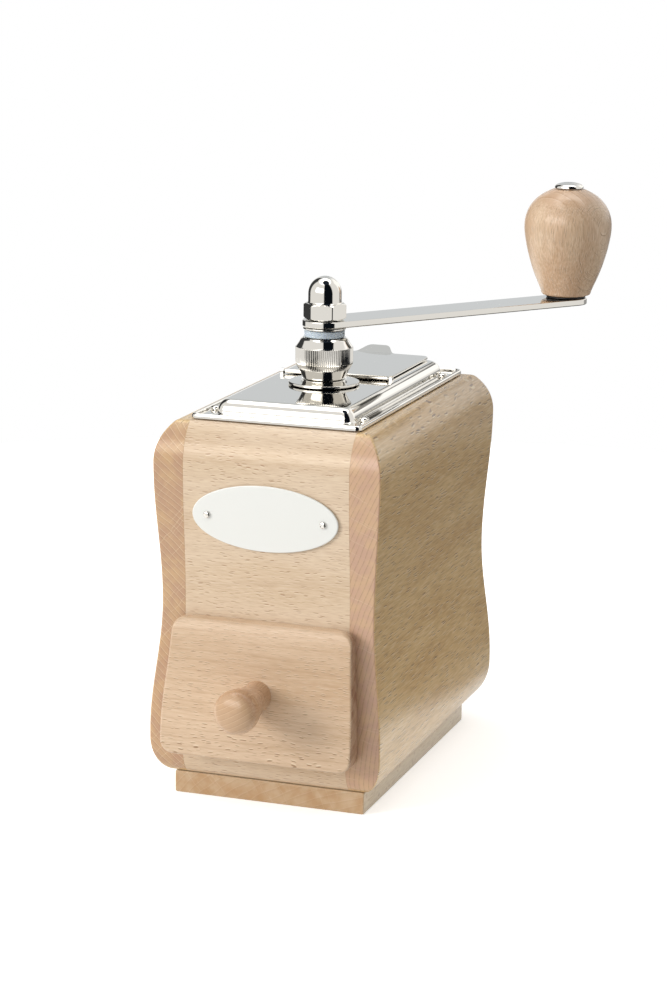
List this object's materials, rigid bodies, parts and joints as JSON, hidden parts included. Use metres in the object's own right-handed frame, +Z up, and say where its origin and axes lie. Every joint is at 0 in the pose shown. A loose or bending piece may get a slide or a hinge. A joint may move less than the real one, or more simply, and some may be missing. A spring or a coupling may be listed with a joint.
{
  "type": "manual coffee grinder",
  "caption": "Hand cranked box coffee mill with a waisted beech body, stamped metal top with a hinged filling lid, cone burrs, adjusting nut and a pull-out drawer.",
  "frame": {"origin": "middle of the plinth's underside, on the surface that the mill stands on", "axes": "+Z up along the shaft, -Y is the front with the drawer and the name plate, +X to the right seen from the front"},
  "size_m": [0.1329, 0.2064, 0.2206],
  "materials": {
    "beech": "satin lacquer",
    "beech_ply": "plain plywood",
    "nickel_plated_steel": "bright plated",
    "bright_steel": "zinc plated",
    "burr_steel": "hardened, machined teeth",
    "brass": "turned",
    "nylon": "natural, slightly see-through",
    "white_enamel": "glossy white enamel, blank",
    "black_fibre": "black fibre"
  },
  "bodies": {
    "housing": {"base_plinth": "beech", "side_panel_left": "beech", "side_panel_right": "beech", "front_panel": "beech", "back_panel": "beech", "mechanism_board": "beech", "drawer_runner_left": "beech", "drawer_runner_right": "beech", "top_plate": "nickel_plated_steel", "shaft_collar": "nickel_plated_steel", "top_plate_screw_1": "nickel_plated_steel", "top_plate_screw_2": "nickel_plated_steel", "top_plate_screw_3": "nickel_plated_steel", "top_plate_screw_4": "nickel_plated_steel", "name_plate_pin_1": "nickel_plated_steel", "name_plate_pin_2": "nickel_plated_steel", "hinge_pin": "bright_steel", "upper_bridge": "bright_steel", "lower_bridge": "bright_steel", "feed_funnel": "bright_steel", "plinth_screw_1": "bright_steel", "plinth_screw_2": "bright_steel", "plinth_screw_3": "bright_steel", "plinth_screw_4": "bright_steel", "outer_burr_screw_1": "bright_steel", "outer_burr_screw_2": "bright_steel", "lower_bridge_screw_1": "bright_steel", "lower_bridge_screw_2": "bright_steel", "upper_bridge_screw_1": "bright_steel", "upper_bridge_screw_2": "bright_steel", "upper_bridge_screw_3": "bright_steel", "upper_bridge_screw_4": "bright_steel", "outer_burr": "burr_steel", "upper_bush": "brass", "lower_bush": "brass", "name_plate": "white_enamel"},
    "lid": {"filling_lid": "nickel_plated_steel"},
    "drawer": {"drawer_front": "beech", "drawer_side_left": "beech", "drawer_side_right": "beech", "drawer_back": "beech", "drawer_bottom": "beech_ply", "drawer_knob": "beech", "drawer_knob_screw": "bright_steel"},
    "crank": {"drive_shaft": "bright_steel", "inner_burr": "burr_steel", "burr_drive_pin": "bright_steel", "burr_spring": "bright_steel", "spring_washer": "bright_steel", "crank_arm": "nickel_plated_steel", "arm_washer": "nickel_plated_steel", "nylon_washer": "nylon", "cap_nut": "nickel_plated_steel", "crank_knob_screw": "nickel_plated_steel", "crank_knob_washer": "black_fibre"},
    "knob": {"crank_knob": "beech"},
    "setting": {"adjusting_nut": "nickel_plated_steel"}
  },
  "joints": [
    {"name": "lid_hinge", "type": "hinge", "parent": "housing", "child": "lid", "pos_m": [0, 0.0052, 0.1507], "axis": [1, 0, 0], "range_deg": [0, 35]},
    {"name": "drawer_slide", "type": "slide", "parent": "housing", "child": "drawer", "axis": [0, -1, 0], "range_m": [0, 0.12]},
    {"name": "crank_turn", "type": "hinge", "parent": "housing", "child": "crank", "pos_m": [0, -0.0096, 0.1727], "axis": [0, 0, 1], "continuous": true},
    {"name": "knob_spin", "type": "hinge", "parent": "crank", "child": "knob", "pos_m": [0.07013, 0.0828, 0.1747], "axis": [0, 0, 1], "continuous": true},
    {"name": "adjusting_nut_turn", "type": "hinge", "parent": "crank", "child": "setting", "pos_m": [0, -0.0096, 0.16], "axis": [0, 0, 1], "range_deg": [-180, 180]}
  ]
}
